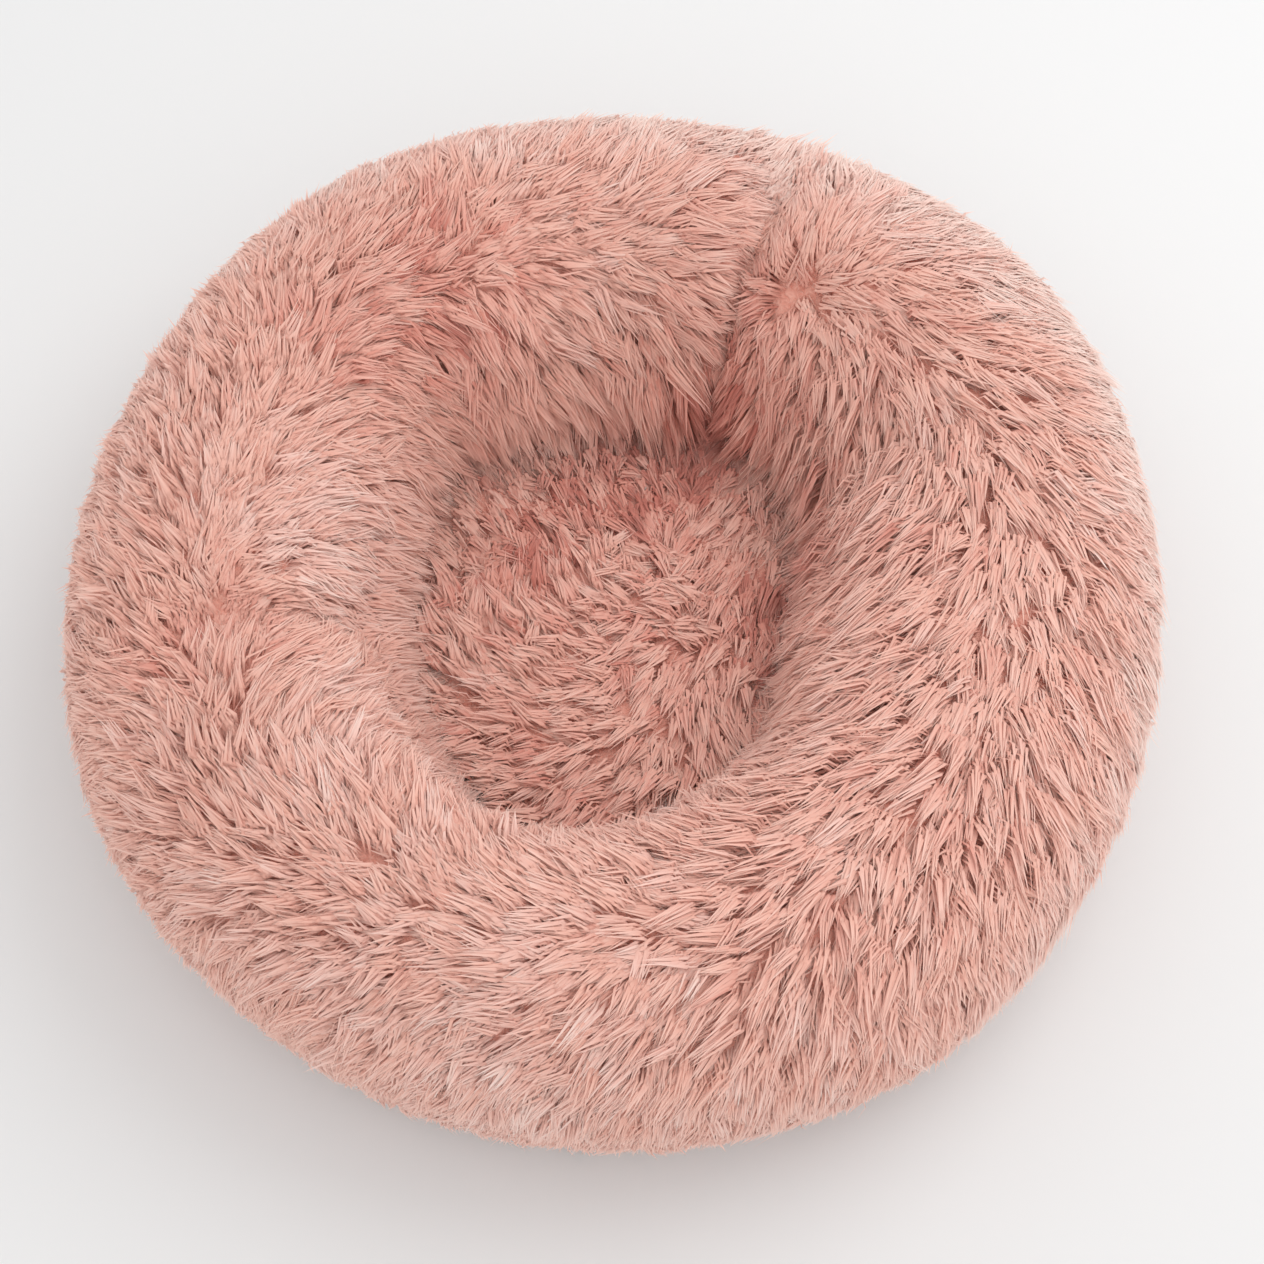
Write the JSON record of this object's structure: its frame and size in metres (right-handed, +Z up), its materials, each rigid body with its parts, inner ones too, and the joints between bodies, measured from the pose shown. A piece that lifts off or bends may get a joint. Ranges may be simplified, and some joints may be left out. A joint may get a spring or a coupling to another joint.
{
  "type": "pet bed",
  "caption": "Round long-plush pet bed with a stuffed rim round a soft pad, on a dotted base cloth, with a washable cover that opens along a zip at the back.",
  "frame": {"origin": "centre of the underside, on the plane that the grip dots rest on", "axes": "+Z up; -Y towards the front edge, nearest the picture's viewer; the zip lies at the back, on +Y"},
  "size_m": [0.584, 0.5821, 0.1869],
  "materials": {
    "long_plush": "matte",
    "bag_cloth": "matte",
    "fibre": "matte",
    "dotted_cloth": "matte",
    "band_cloth": "matte",
    "binding_tape": "matte",
    "zip_coil": "satin",
    "zip_metal": "satin"
  },
  "bodies": {
    "bed": {"rim_cover": "long_plush", "rim_bag": "bag_cloth", "rim_filling": "fibre", "pad_cover": "long_plush", "pad_bag": "bag_cloth", "pad_filling": "fibre", "base_cloth": "dotted_cloth", "base_binding": "binding_tape", "side_band": "band_cloth", "zip_tape_lower": "binding_tape", "zip_tape_upper": "binding_tape", "zip_coil_lower": "zip_coil", "zip_coil_upper": "zip_coil", "zip_top_stop_lower": "zip_metal", "zip_top_stop_upper": "zip_metal", "zip_bottom_stop": "zip_metal"},
    "slider": {"zip_slider": "zip_metal"},
    "pull": {"zip_pull": "zip_metal"}
  },
  "joints": [
    {"name": "zip_travel", "type": "hinge", "parent": "bed", "child": "slider", "pos_m": [0, 0, 0], "axis": [0, 0, 1], "range_deg": [0, 75.2]},
    {"name": "pull_swing", "type": "hinge", "parent": "slider", "child": "pull", "pos_m": [0.16647, 0.21627, 0.0129], "axis": [0, 0, -1], "range_deg": [0, 170]}
  ]
}
